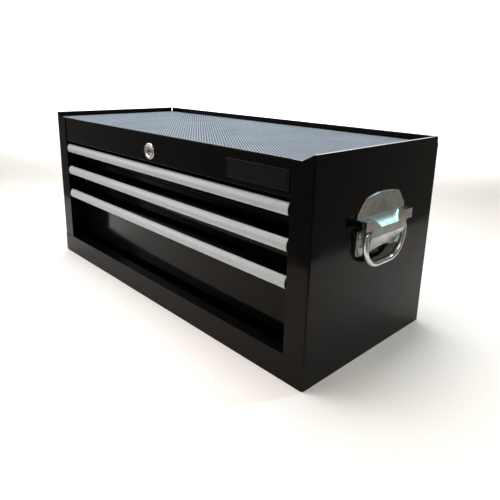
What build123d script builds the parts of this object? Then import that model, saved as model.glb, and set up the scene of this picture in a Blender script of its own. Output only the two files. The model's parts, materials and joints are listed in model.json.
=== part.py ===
from build123d import *
from math import radians, sin, cos
import os

os.makedirs("parts", exist_ok=True)

# A three-drawer add-on tool chest. Millimetres, +Z up, front towards -Y.
# The origin is on the surface it stands on, under the middle of the case.

# Case
case_width = 610.0
case_depth = 260.0
case_height = 270.0
case_sheet = 1.2
case_bend = 2.0
flange_width = 31.0
opening_return = 12.0
rim_height = 8.0
rim_thickness = 3.0
rim_round = 1.3
rim_corner = 2.0
rim_back_gap = 1.2
rim_side_gap = 2.0
hem_end_gap = 7.0
mitre_run = 17.0
back_lap = 12.0
lap_clearance = 0.3

# Top, with its mat
mat_thickness = 3.0
mat_clearance = 0.5
lip_thickness = 3.0
lip_height = 4.7
lip_round = 1.2

# Rails across the front
top_rail_height = 37.6
top_rail_depth = 18.0
bottom_rail_height = 34.5
bottom_rail_depth = 18.0
bottom_rail_corner = 3.0
rail_edge_round = 0.9
rail_seam = 0.3
floor_flange = 12.0

# Blank plate on the top rail
badge_width = 100.0
badge_height = 23.4
badge_thickness = 1.0
badge_side_gap = 2.5
badge_rise = 18.6
badge_border = 1.2
badge_border_depth = 0.3

# Drawers, from the top one down
first_drawer_gap = 5.7
drawer_pitches = [41.0, 44.0]
drawer_face_gap = 2.6
last_drawer_gap = 6.5
drawer_sheet = 1.0
face_recess = 26.0
face_side_gap = 18.0
face_return = 10.0
tray_inset = 1.0
tray_back_gap = 13.0
tray_top_drop = 6.0
tray_seat_gap = 0.1
tray_hem_width = 4.0

# Pull, an extrusion that grips the drawer's lip
pull_end_gap = 1.0
pull_height = 14.0
pull_skin = 1.2
pull_top_set_back = 3.8
pull_bottom_set_back = 1.6
pull_belly_drop = 7.5
pull_grip_depth = 9.0
pull_rib = 1.05
pull_grip_clearance = 0.05
end_cap_thickness = 2.0
end_cap_foot = 4.4

# Ball-bearing slides
slide_height = 27.0
slide_thickness = 12.7
slide_sheet = 1.2
slide_front_gap = 3.0
slide_back_gap = 6.0
slide_top_drop = 2.0
outer_rail_reach = 8.3
outer_rail_lip = 1.0
ball_radius = 1.9
ball_clearance = 0.1
ball_inset = 5.8
balls_per_row = 4
ball_pitch = 12.0
cage_sheet = 0.8
cage_length = 46.0
cage_web_inset = 3.1
cage_leg_reach = 3.6
inner_rail_gap = 3.2
slide_rivet_radius = 2.4
slide_rivet_head = 4.2
slide_rivet_head_thickness = 0.8
rivet_hole_clearance = 0.05

# Posts that carry the slides
post_depth = 30.0
front_post_gap = 4.0
rear_post_gap = 10.0

# Lock on the top rail
lock_x = 5.0
lock_rise = 16.3
lock_bezel_radius = 12.0
lock_bezel_thickness = 2.6
lock_bezel_round = 1.2
lock_barrel_radius = 9.5
lock_barrel_length = 22.0
lock_hole_clearance = 0.1
lock_nut_flats = 25.0
lock_nut_thickness = 4.0
lock_plug_radius = 6.5
lock_plug_clearance = 0.06
lock_plug_set_back = 0.3
keyway_width = 8.0
keyway_height = 2.2
keyway_depth = 12.0
lock_turn = 90.0

# Rod and crank that carry the key's turn to the back
rod_radius = 3.0
rod_clearance = 0.06
rod_socket_depth = 6.0
rod_socket_clearance = 0.03
crank_radius = 8.0
crank_width = 9.0
crank_thickness = 2.5
crank_pin_radius = 2.0

# Bar behind the drawers, and the catches that its teeth drop behind
bar_width = 20.0
bar_thickness = 2.0
bar_back_gap = 7.8
bar_slot_clearance = 0.35
bar_top_margin = 8.0
bar_foot_height = 16.0
guide_clearance = 0.2
guide_width = 12.0
guide_crank_gap = 0.8
low_guide_height = 26.0
guide_wall = 2.0
tooth_width = 16.0
tooth_thickness = 2.0
tooth_length = 12.0
tooth_clearance = 1.5
catch_width = 24.0
catch_sheet = 1.5
catch_height = 12.0
catch_bar_gap = 2.0
catch_foot_height = 8.0
catch_to_tooth = 1.6
hanger_width = 18.0
hanger_foot = 16.0
hanger_set_forward = 24.3

# Drop handles on the sides: depths from the panel, heights from the bail's pivot
handle_drop = 100.0
handle_plate = 2.4
handle_sheet = 1.8
dome_width = 101.0
dome_low = 16.0
dome_side = 24.0
dome_shoulder_width = 71.0
dome_shoulder = 41.2
dome_top = 45.4
dome_corner = 4.0
plate_ear = 11.2
plate_low = -27.5
plate_high = 4.0
plate_corner = 4.0
plate_overlap = 4.0
hood_width = 101.0
hood_depth = 14.5
hood_low = 6.2
hood_high = 18.5
body_width = 75.2
body_fold = -3.6
body_low = -25.0
body_low_depth = 4.6
body_low_width = 56.0
arch_width = 46.0
arch_rise = 4.6
recess_top_width = 69.0
recess_low_width = 37.0
recess_low = 6.8
recess_back_depth = 3.6
bail_wire = 7.0
bail_side_gap = 0.2
bail_drop = 41.0
bail_corner = 29.0
bail_bend = 4.2
bail_pivot_depth = 9.5
bail_stub = 12.0
bail_clearance = 0.08
handle_rivet_radius = 2.4
handle_rivet_head = 3.3
handle_rivet_height = 1.5
handle_rivet_gap = 0.6
handle_rivet_heights = [-17.0, -1.5]

# Planes and levels worked out from the sizes above
side_x = case_width / 2
inner_x = side_x - case_sheet
front_y = -case_depth / 2
back_y = case_depth / 2
flange_back_y = front_y + case_sheet
lap_y = back_y - case_sheet
inner_back_y = lap_y - case_sheet
rim_end_y = lap_y - rim_back_gap
rim_end_x = side_x - rim_side_gap
hem_end_y = lap_y - hem_end_gap
hem_end_x = side_x - hem_end_gap
opening_x = side_x - flange_width
rim_low_z = case_height - rim_height
top_under_z = rim_low_z - lip_height
top_face_z = top_under_z + case_sheet
rail_low_z = top_under_z - top_rail_height
face_y = front_y + face_recess
face_x = opening_x - face_side_gap
tray_x = face_x - tray_inset
pull_x = opening_x - pull_end_gap - end_cap_thickness
tray_front_y = face_y + drawer_sheet
bar_front_y = lap_y - bar_back_gap - bar_thickness
tray_back_y = bar_front_y - tray_back_gap
catch_back_y = bar_front_y - catch_bar_gap
post_x = tray_x + slide_thickness
slide_front_y = tray_front_y + slide_front_gap
slide_back_y = tray_back_y - slide_back_gap
front_post_y = slide_front_y + front_post_gap
rear_post_y = slide_back_y - rear_post_gap - post_depth
lock_z = rail_low_z + lock_rise
crank_pin_x = crank_radius * cos(radians(lock_turn / 2))
crank_pin_z = crank_radius * sin(radians(lock_turn / 2))
bar_travel = 2 * crank_pin_z
post_centres_y = [front_post_y + post_depth / 2, rear_post_y + post_depth / 2]
drawer_count = len(drawer_pitches) + 1
pull_tops = [rail_low_z - first_drawer_gap]
for drawer_pitch in drawer_pitches:
    pull_tops.append(pull_tops[-1] - drawer_pitch)
face_bottoms = [pull_top + drawer_face_gap for pull_top in pull_tops[1:]]
face_bottoms.append(bottom_rail_height + last_drawer_gap)
handle_z = case_height - handle_drop
plate_width = body_width + 2 * plate_ear
bail_width = body_width + 2 * (bail_side_gap + bail_bend)
handle_rivet_y = body_width / 2 + handle_rivet_gap + handle_rivet_head
handle_rivet_places = [(y, z) for y in (-handle_rivet_y, handle_rivet_y) for z in handle_rivet_heights]


def block(x, y, z, mode=Mode.ADD):
    """Adds a box that fills the spans x, y and z, each a low and a high value."""
    middle = [(low + high) / 2 for low, high in (x, y, z)]
    with Locations(tuple(middle)):
        Box(x[1] - x[0], y[1] - y[0], z[1] - z[0], mode=mode)


def save(piece, name):
    """Labels a finished piece and writes it under its own name."""
    piece.label = name
    export_step(piece, f"parts/{name}.step")


def tray_floor_z(index):
    return face_bottoms[index] + drawer_sheet + tray_seat_gap


def tray_top_z(index):
    return pull_tops[index] - tray_top_drop


def lip_low_z(index):
    return pull_tops[index] - pull_rib - drawer_sheet


def slide_z(index):
    return tray_top_z(index) - slide_top_drop - slide_height / 2


def catch_lip_top_z(index):
    return tray_floor_z(index) + catch_foot_height + catch_height


def tooth_tip_z(index):
    return catch_lip_top_z(index) + tooth_clearance


# Right side panel: sheet, front flange with its return, rolled rim and rear lap
with BuildPart() as side_panel:
    block((inner_x, side_x), (front_y, lap_y), (0, case_height))
    block((opening_x, side_x), (front_y, flange_back_y), (bottom_rail_height + rail_seam, case_height))
    corner = side_panel.edges().filter_by(Axis.Z).sort_by(Axis.Y)[0:4].sort_by(Axis.X)[-1]
    fillet(corner, radius=case_bend)
    block(
        (opening_x, opening_x + case_sheet),
        (front_y, front_y + opening_return),
        (bottom_rail_height + rail_seam, rail_low_z - lap_clearance),
    )
    block((side_x - back_lap, side_x), (inner_back_y, lap_y), (case_sheet + lap_clearance, top_under_z))
    block((side_x - rim_thickness, side_x), (flange_back_y, hem_end_y), (rim_low_z, case_height))
    rim_edges = side_panel.edges().filter_by(Axis.Y).group_by(Axis.Z)[-1]
    fillet(rim_edges.sort_by(Axis.X)[0], radius=rim_round)
    block((inner_x - 1, side_x + 1), (front_y - 1, flange_back_y), (-1, bottom_rail_height + rail_seam),
          mode=Mode.SUBTRACT)
    with BuildSketch(Plane.XZ.offset(-front_y)):
        with BuildLine():
            Polyline(
                (opening_x - 1, rim_low_z),
                (side_x - mitre_run, rim_low_z),
                (side_x - case_bend / 2, case_height),
                (side_x, case_height + 1),
                (opening_x - 1, case_height + 1),
                close=True,
            )
        make_face()
    extrude(amount=-case_sheet, mode=Mode.SUBTRACT)
    block((inner_x, side_x), (rim_end_y, lap_y), (rim_low_z, case_height), mode=Mode.SUBTRACT)
    end_edge = side_panel.edges().filter_by(Axis.X).group_by(Axis.Z)[-1].sort_by(Axis.Y)[-1]
    fillet(end_edge, radius=rim_corner)
    with BuildSketch(Plane.YZ.offset(side_x)):
        with Locations(*[(y, handle_z + z) for y, z in handle_rivet_places]):
            Circle(handle_rivet_radius + rivet_hole_clearance)
    extrude(amount=-case_sheet, mode=Mode.SUBTRACT)
save(side_panel.part, "right_side_panel")
save(mirror(side_panel.part, about=Plane.YZ), "left_side_panel")

# Back panel with its rolled rim, which stops short of the side panels' rims
with BuildPart() as back_panel:
    block((-side_x, side_x), (lap_y, back_y), (0, rim_low_z))
    block((-rim_end_x, rim_end_x), (lap_y, back_y), (rim_low_z, case_height))
    fillet(back_panel.edges().filter_by(Axis.Y).group_by(Axis.Z)[-1], radius=rim_corner)
    block((-hem_end_x, hem_end_x), (back_y - rim_thickness, back_y), (rim_low_z, case_height))
    hem_edges = back_panel.edges().filter_by(Axis.X).group_by(Axis.Z)[-1]
    fillet(hem_edges.sort_by(Axis.Y)[0], radius=rim_round)
save(back_panel.part, "back_panel")

# Bottom panel: a floor with flanges turned up against the side panels
with BuildPart() as bottom_panel:
    block((-inner_x, inner_x), (flange_back_y, inner_back_y), (0, case_sheet))
    for inner in (-inner_x, inner_x - case_sheet):
        block((inner, inner + case_sheet), (flange_back_y, inner_back_y - lap_clearance), (0, floor_flange))
save(bottom_panel.part, "bottom_panel")

# Top panel: a shallow tray whose front edge is a rolled lip
with BuildPart() as top_panel:
    block((-inner_x, inner_x), (flange_back_y, inner_back_y), (top_under_z, top_face_z))
    block((-inner_x, inner_x), (flange_back_y, flange_back_y + lip_thickness), (top_under_z, rim_low_z))
    fillet(top_panel.edges().filter_by(Axis.X).group_by(Axis.Z)[-1], radius=lip_round)
save(top_panel.part, "top_panel")

# Mat that lies in the top
with BuildPart() as top_mat:
    block(
        (rim_thickness + mat_clearance - side_x, side_x - rim_thickness - mat_clearance),
        (flange_back_y + lip_thickness + mat_clearance, back_y - rim_thickness - mat_clearance),
        (top_face_z, top_face_z + mat_thickness),
    )
save(top_mat.part, "top_mat")

# Rail above the drawers: a channel with the lock's hole
with BuildPart() as top_front_rail:
    rail_back_y = flange_back_y + top_rail_depth
    block((-inner_x, inner_x), (flange_back_y, flange_back_y + case_sheet), (rail_low_z, top_under_z))
    block((-inner_x, inner_x), (flange_back_y, rail_back_y), (top_under_z - case_sheet, top_under_z))
    block((-inner_x, inner_x), (flange_back_y, rail_back_y), (rail_low_z, rail_low_z + case_sheet))
    lower_edge = top_front_rail.edges().filter_by(Axis.X).group_by(Axis.Z)[0].sort_by(Axis.Y)[0]
    fillet(lower_edge, radius=rail_edge_round)
    with BuildSketch(Plane.XZ.offset(-flange_back_y)):
        with Locations((lock_x, lock_z)):
            Circle(lock_barrel_radius + lock_hole_clearance)
    extrude(amount=-case_sheet, mode=Mode.SUBTRACT)
save(top_front_rail.part, "top_front_rail")

# Rail below the drawers, as wide as the case
with BuildPart() as bottom_front_rail:
    with BuildSketch(Plane.XZ.offset(-front_y)):
        Rectangle(case_width, bottom_rail_height, align=(Align.CENTER, Align.MIN))
        fillet(vertices().group_by(Axis.Y)[0], radius=bottom_rail_corner)
    extrude(amount=-case_sheet)
    upper_edge = bottom_front_rail.edges().filter_by(Axis.X).group_by(Axis.Z)[-1].sort_by(Axis.Y)[0]
    fillet(upper_edge, radius=rail_edge_round)
    block(
        (-inner_x, inner_x),
        (flange_back_y, flange_back_y + bottom_rail_depth),
        (bottom_rail_height - case_sheet, bottom_rail_height),
    )
save(bottom_front_rail.part, "bottom_front_rail")

# Posts that carry the slides: channels open towards the side panel
for place, post_y in (("front", front_post_y), ("rear", rear_post_y)):
    with BuildPart() as post:
        post_z = (floor_flange, top_under_z)
        block((post_x, post_x + case_sheet), (post_y, post_y + post_depth), post_z)
        for wall_y in (post_y, post_y + post_depth - case_sheet):
            block((post_x, inner_x), (wall_y, wall_y + case_sheet), post_z)
        with BuildSketch(Plane.YZ.offset(post_x)):
            with Locations(*[(post_y + post_depth / 2, slide_z(index)) for index in range(drawer_count)]):
                Circle(slide_rivet_radius + rivet_hole_clearance)
        extrude(amount=case_sheet, mode=Mode.SUBTRACT)
    save(post.part, f"{place}_right_post")
    save(mirror(post.part, about=Plane.YZ), f"{place}_left_post")

# Blank plate with a shallow line round its edge
with BuildPart() as badge_plate:
    badge_y = flange_back_y - badge_thickness
    badge_centre = (opening_x - badge_side_gap - badge_width / 2, rail_low_z + badge_rise)
    with BuildSketch(Plane.XZ.offset(-flange_back_y)):
        with Locations(badge_centre):
            Rectangle(badge_width, badge_height)
    extrude(amount=badge_thickness)
    with BuildSketch(Plane.XZ.offset(-badge_y)):
        with Locations(badge_centre):
            Rectangle(badge_width - 2 * badge_border, badge_height - 2 * badge_border)
            Rectangle(badge_width - 4 * badge_border, badge_height - 4 * badge_border, mode=Mode.SUBTRACT)
    extrude(amount=-badge_border_depth, mode=Mode.SUBTRACT)
save(badge_plate.part, "badge_plate")

# Lock: barrel with its bezel, held by a nut behind the rail
with BuildPart() as lock_barrel:
    bezel_y = flange_back_y - lock_bezel_thickness
    with BuildSketch(Plane.XZ.offset(-flange_back_y)):
        with Locations((lock_x, lock_z)):
            Circle(lock_bezel_radius)
    extrude(amount=lock_bezel_thickness)
    fillet(lock_barrel.edges().filter_by(GeomType.CIRCLE).sort_by(Axis.Y)[0], radius=lock_bezel_round)
    with BuildSketch(Plane.XZ.offset(-flange_back_y)):
        with Locations((lock_x, lock_z)):
            Circle(lock_barrel_radius)
    extrude(amount=-lock_barrel_length)
    with BuildSketch(Plane.XZ.offset(-bezel_y)):
        with Locations((lock_x, lock_z)):
            Circle(lock_plug_radius + lock_plug_clearance)
    extrude(amount=-lock_bezel_thickness - lock_barrel_length, mode=Mode.SUBTRACT)
save(lock_barrel.part, "lock_barrel")

with BuildPart() as lock_nut:
    with BuildSketch(Plane.XZ.offset(-flange_back_y - case_sheet)):
        with Locations((lock_x, lock_z)):
            RegularPolygon(lock_nut_flats / 2, 6, major_radius=False)
            Circle(lock_barrel_radius + lock_hole_clearance, mode=Mode.SUBTRACT)
    extrude(amount=-lock_nut_thickness)
save(lock_nut.part, "lock_nut")

# Plug that the key turns, with its keyway and a socket for the rod
plug_front_y = flange_back_y - lock_bezel_thickness + lock_plug_set_back
plug_back_y = flange_back_y + lock_barrel_length
with BuildPart() as lock_plug:
    with BuildSketch(Plane.XZ.offset(-plug_front_y)):
        with Locations((lock_x, lock_z)):
            Circle(lock_plug_radius)
    extrude(amount=plug_front_y - plug_back_y)
    with BuildSketch(Plane.XZ.offset(-plug_front_y)):
        with Locations((lock_x, lock_z)):
            Rectangle(keyway_width, keyway_height)
    extrude(amount=-keyway_depth, mode=Mode.SUBTRACT)
    with BuildSketch(Plane.XZ.offset(-plug_back_y)):
        with Locations((lock_x, lock_z)):
            Circle(rod_radius + rod_socket_clearance)
    extrude(amount=rod_socket_depth, mode=Mode.SUBTRACT)
save(lock_plug.part, "lock_plug")

# Rod from the plug to the back, ending in a crank whose pin works the bar
crank_back_y = bar_front_y - guide_clearance
crank_front_y = crank_back_y - crank_thickness
with BuildPart() as lock_rod:
    with BuildSketch(Plane.XZ.offset(-plug_back_y + rod_socket_depth)):
        with Locations((lock_x, lock_z)):
            Circle(rod_radius)
    extrude(amount=plug_back_y - rod_socket_depth - crank_back_y)
    with BuildSketch(Plane.XZ.offset(-crank_front_y)):
        with Locations(Location((lock_x + crank_pin_x / 2, lock_z + crank_pin_z / 2), lock_turn / 2)):
            SlotCenterToCenter(crank_radius, crank_width)
    extrude(amount=-crank_thickness)
    with BuildSketch(Plane.XZ.offset(-crank_back_y)):
        with Locations((lock_x + crank_pin_x, lock_z + crank_pin_z)):
            Circle(crank_pin_radius)
    extrude(amount=-bar_thickness - 2 * guide_clearance)
save(lock_rod.part, "lock_rod")

# Bar that the crank lowers, with a cross slot for the pin and a tooth for each drawer
bar_top_z = lock_z + crank_pin_z + crank_pin_radius + bar_top_margin
bar_low_z = bar_foot_height
slot_low_x = lock_x + crank_pin_x - crank_pin_radius - bar_slot_clearance
slot_high_x = lock_x + crank_radius + crank_pin_radius + bar_slot_clearance
with BuildPart() as locking_bar:
    block(
        (lock_x - bar_width / 2 + crank_pin_x, lock_x + bar_width / 2 + crank_pin_x),
        (bar_front_y, bar_front_y + bar_thickness),
        (bar_low_z, bar_top_z),
    )
    slot_half = crank_pin_radius + bar_slot_clearance
    pin_z = lock_z + crank_pin_z
    block(
        (slot_low_x, slot_high_x),
        (bar_front_y, bar_front_y + bar_thickness),
        (pin_z - slot_half, pin_z + slot_half),
        mode=Mode.SUBTRACT,
    )
    tooth_back_y = catch_back_y - catch_sheet - catch_to_tooth
    for index in range(drawer_count):
        tooth_x = (lock_x + crank_pin_x - tooth_width / 2, lock_x + crank_pin_x + tooth_width / 2)
        tip_z = tooth_tip_z(index)
        block(tooth_x, (tooth_back_y - tooth_thickness, tooth_back_y), (tip_z, tip_z + tooth_length))
        block(
            tooth_x,
            (tooth_back_y - tooth_thickness, bar_front_y),
            (tip_z + tooth_length, tip_z + tooth_length + tooth_thickness),
        )
save(locking_bar.part, "locking_bar")

# Guides that keep the bar against the back panel, and the hanger that carries the rod
crank_reach = crank_pin_z + crank_width / 2
high_guide_z = lock_z - crank_reach - guide_crank_gap - guide_width / 2
bar_centre_x = lock_x + crank_pin_x
hanger_y = crank_front_y - hanger_set_forward
with BuildPart() as lock_brackets:
    for guide_z in (low_guide_height, high_guide_z):
        guide_span = (guide_z - guide_width / 2, guide_z + guide_width / 2)
        half = bar_width / 2 + guide_clearance
        block(
            (bar_centre_x - half - guide_wall, bar_centre_x + half + guide_wall),
            (bar_front_y - guide_clearance - guide_wall, lap_y),
            guide_span,
        )
        block(
            (bar_centre_x - half, bar_centre_x + half),
            (bar_front_y - guide_clearance, bar_front_y + bar_thickness + guide_clearance),
            guide_span,
            mode=Mode.SUBTRACT,
        )
    block(
        (lock_x - hanger_width / 2, lock_x + hanger_width / 2),
        (hanger_y, hanger_y + case_sheet),
        (lock_z - hanger_width / 2, top_under_z),
    )
    block(
        (lock_x - hanger_width / 2, lock_x + hanger_width / 2),
        (hanger_y, hanger_y + hanger_foot),
        (top_under_z - case_sheet, top_under_z),
    )
    with BuildSketch(Plane.XZ.offset(-hanger_y)):
        with Locations((lock_x, lock_z)):
            Circle(rod_radius + rod_clearance)
    extrude(amount=-case_sheet, mode=Mode.SUBTRACT)
save(lock_brackets.part, "lock_brackets")

# Drawers
for index in range(drawer_count):
    name = f"drawer_{index + 1}"
    face_low_z = face_bottoms[index]
    lip_z = lip_low_z(index)
    floor_z = tray_floor_z(index)
    tray_high_z = tray_top_z(index)
    pull_top_z = pull_tops[index]

    # Front: a recessed face, turned back below and forward above into the lip
    with BuildPart() as drawer_front:
        face_span = (-face_x, face_x)
        block(face_span, (face_y, tray_front_y), (face_low_z, lip_z + drawer_sheet))
        block(face_span, (face_y, face_y + face_return), (face_low_z, face_low_z + drawer_sheet))
        lower_edge = drawer_front.edges().filter_by(Axis.X).group_by(Axis.Z)[0].sort_by(Axis.Y)[0]
        fillet(lower_edge, radius=drawer_sheet * 0.8)
        block(
            (-pull_x, pull_x),
            (front_y + pull_top_set_back + pull_skin, face_y),
            (lip_z, lip_z + drawer_sheet),
        )
    save(drawer_front.part, f"{name}_front")

    # Tray: a floor, two sides with rolled tops, a back and an inner front
    with BuildPart() as tray:
        half = tray_x
        block((-half, half), (tray_front_y, tray_back_y), (floor_z, floor_z + drawer_sheet))
        for wall_x in (-half, half - drawer_sheet):
            block((wall_x, wall_x + drawer_sheet), (tray_front_y, tray_back_y), (floor_z, tray_high_z))
        for wall_y in (tray_front_y, tray_back_y - drawer_sheet):
            block((-half, half), (wall_y, wall_y + drawer_sheet), (floor_z, tray_high_z))
        for hem_x in (-half, half - tray_hem_width):
            block(
                (hem_x, hem_x + tray_hem_width),
                (tray_front_y, tray_back_y),
                (tray_high_z - drawer_sheet, tray_high_z),
            )
    save(tray.part, f"{name}_tray")

    # Pull: a curved skin with two ribs that grip the lip
    with BuildPart() as pull:
        top_point = (front_y + pull_top_set_back, pull_top_z)
        belly_point = (front_y, pull_top_z - pull_belly_drop)
        low_point = (front_y + pull_bottom_set_back, pull_top_z - pull_height)
        grip_y = top_point[0] + pull_grip_depth
        with BuildSketch(Plane.YZ.offset(-pull_x)):
            for rib_top in (pull_top_z, lip_z - pull_grip_clearance):
                with Locations((front_y, rib_top)):
                    Rectangle(grip_y - front_y, pull_rib, align=(Align.MIN, Align.MAX))
            with BuildLine():
                ThreePointArc(top_point, belly_point, low_point)
                Polyline(low_point, (grip_y, low_point[1]), (grip_y, pull_top_z), top_point)
            make_face(mode=Mode.INTERSECT)
            with BuildLine():
                ThreePointArc(top_point, belly_point, low_point)
                inner = ThreePointArc(
                    (top_point[0] + pull_skin, top_point[1]),
                    (belly_point[0] + pull_skin, belly_point[1]),
                    (low_point[0] + pull_skin, low_point[1]),
                )
                Line(top_point, inner @ 0)
                Line(low_point, inner @ 1)
            make_face()
        extrude(amount=2 * pull_x)
    save(pull.part, f"{name}_pull")

    # Black caps that close the ends of the pull
    with BuildPart() as end_caps:
        for cap_x in (-pull_x - end_cap_thickness, pull_x):
            with BuildSketch(Plane.YZ.offset(cap_x)):
                with BuildLine():
                    ThreePointArc(top_point, belly_point, low_point)
                    Polyline(
                        low_point,
                        (low_point[0] + end_cap_foot, low_point[1]),
                        (grip_y, pull_top_z - pull_belly_drop),
                        (grip_y, pull_top_z),
                        top_point,
                    )
                make_face()
            extrude(amount=end_cap_thickness)
    save(end_caps.part, f"{name}_end_caps")

    # Catch on the tray's back, an angle whose lip the tooth drops in front of
    with BuildPart() as catch:
        catch_x = (bar_centre_x - catch_width / 2, bar_centre_x + catch_width / 2)
        shelf_z = floor_z + catch_foot_height
        block(catch_x, (tray_back_y, tray_back_y + catch_sheet), (floor_z, shelf_z))
        block(catch_x, (tray_back_y, catch_back_y), (shelf_z - catch_sheet, shelf_z))
        block(catch_x, (catch_back_y - catch_sheet, catch_back_y), (shelf_z - catch_sheet, shelf_z + catch_height))
    save(catch.part, f"{name}_lock_catch")

# Slides: an outer rail on the posts, an inner rail on the tray, and balls in a cage between
rail_x = post_x - slide_sheet
ball_x = post_x - ball_inset
ball_row = slide_height / 2 - slide_sheet - ball_clearance - ball_radius
inner_half = ball_row - ball_radius - ball_clearance
slide_middle_y = (slide_front_y + slide_back_y) / 2
ball_spots = [(row - (balls_per_row - 1) / 2) * ball_pitch for row in range(balls_per_row)]
for index in range(drawer_count):
    name = f"drawer_{index + 1}"
    middle_z = slide_z(index)
    slide_y = (slide_front_y, slide_back_y)

    with BuildPart() as outer_rail:
        block((rail_x, post_x), slide_y, (middle_z - slide_height / 2, middle_z + slide_height / 2))
        for up in (-1, 1):
            edge_z = middle_z + up * slide_height / 2
            flange_z = sorted((edge_z, edge_z - up * slide_sheet))
            lip_z = sorted((edge_z, edge_z - up * (slide_sheet + outer_rail_lip)))
            block((rail_x - outer_rail_reach, post_x), slide_y, flange_z)
            block((rail_x - outer_rail_reach, rail_x - outer_rail_reach + slide_sheet), slide_y, lip_z)
        with BuildSketch(Plane.YZ.offset(rail_x)):
            with Locations(*[(centre_y, middle_z) for centre_y in post_centres_y]):
                Circle(slide_rivet_radius + rivet_hole_clearance)
        extrude(amount=slide_sheet, mode=Mode.SUBTRACT)
    save(outer_rail.part, f"{name}_right_outer_rail")
    save(mirror(outer_rail.part, about=Plane.YZ), f"{name}_left_outer_rail")

    with BuildPart() as inner_rail:
        block((tray_x, tray_x + slide_sheet), slide_y, (middle_z - inner_half, middle_z + inner_half))
        for up in (-1, 1):
            edge_z = middle_z + up * inner_half
            block((tray_x, rail_x - inner_rail_gap), slide_y, sorted((edge_z, edge_z - up * slide_sheet)))
    save(inner_rail.part, f"{name}_right_inner_rail")
    save(mirror(inner_rail.part, about=Plane.YZ), f"{name}_left_inner_rail")

    with BuildPart() as cage:
        cage_y = (slide_middle_y - cage_length / 2, slide_middle_y + cage_length / 2)
        cage_x = post_x - cage_web_inset
        leg_z = ball_row + cage_sheet / 2
        block((cage_x, cage_x + cage_sheet), cage_y, (middle_z - leg_z, middle_z + leg_z))
        for up in (-1, 1):
            row_z = middle_z + up * ball_row
            block(
                (ball_x - cage_leg_reach, cage_x),
                cage_y,
                (row_z - cage_sheet / 2, row_z + cage_sheet / 2),
            )
            with BuildSketch(Plane.XY.offset(row_z - cage_sheet / 2)):
                with Locations(*[(ball_x, slide_middle_y + spot) for spot in ball_spots]):
                    Circle(ball_radius + ball_clearance)
            extrude(amount=cage_sheet, mode=Mode.SUBTRACT)
        with Locations(*[
            (ball_x, slide_middle_y + spot, middle_z + up * ball_row) for spot in ball_spots for up in (-1, 1)
        ]):
            Sphere(ball_radius)
    save(cage.part, f"{name}_right_ball_cage")
    save(mirror(cage.part, about=Plane.YZ), f"{name}_left_ball_cage")

# Rivets that hold the outer rails to the posts
with BuildPart() as slide_rivets:
    for index in range(drawer_count):
        places = [(centre_y, slide_z(index)) for centre_y in post_centres_y]
        with BuildSketch(Plane.YZ.offset(rail_x - slide_rivet_head_thickness)):
            with Locations(*places):
                Circle(slide_rivet_head)
        extrude(amount=slide_rivet_head_thickness)
        with BuildSketch(Plane.YZ.offset(rail_x)):
            with Locations(*places):
                Circle(slide_rivet_radius)
        extrude(amount=slide_sheet + case_sheet)
        with BuildSketch(Plane.YZ.offset(post_x + case_sheet)):
            with Locations(*places):
                Circle(slide_rivet_head)
        extrude(amount=slide_rivet_head_thickness)
    mirror(about=Plane.YZ)
save(slide_rivets.part, "slide_rivets")


def hood_form(wall):
    """Solid form of the handle's hood and body, drawn in by a wall from all but the hood's open ends."""
    depth = hood_depth - wall
    back_x = -wall
    body_half = body_width / 2 - wall
    recess_front = hood_depth + 1
    with BuildPart() as form:
        block((back_x, depth), (-hood_width / 2 - wall, hood_width / 2 + wall), (hood_low, hood_high - wall))
        with BuildSketch(Plane.XZ):
            with BuildLine():
                Polyline(
                    (back_x, body_low),
                    (body_low_depth - wall, body_low),
                    (depth, body_fold),
                    (depth, hood_low),
                    (back_x, hood_low),
                    close=True,
                )
            make_face()
        extrude(amount=body_half, both=True)
        for end in (-1, 1):
            with BuildSketch(Plane.YZ.offset(back_x)):
                with BuildLine():
                    Polyline(
                        (end * (body_low_width / 2 - wall), body_low),
                        (end * body_half, body_fold),
                        (end * hood_width, body_fold),
                        (end * hood_width, body_low),
                        close=True,
                    )
                make_face()
            extrude(amount=hood_depth + wall, mode=Mode.SUBTRACT)
        with BuildSketch(Plane.XY.offset(recess_low - wall)):
            with Locations((recess_front, 0)):
                Rectangle(1 + wall, recess_low_width + 2 * wall, align=(Align.MAX, Align.CENTER))
        with BuildSketch(Plane.XY.offset(hood_high)):
            with Locations((recess_front, 0)):
                Rectangle(
                    recess_front - recess_back_depth + wall,
                    recess_top_width + 2 * wall,
                    align=(Align.MAX, Align.CENTER),
                )
        loft(ruled=True, mode=Mode.SUBTRACT)
    return form.part


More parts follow.
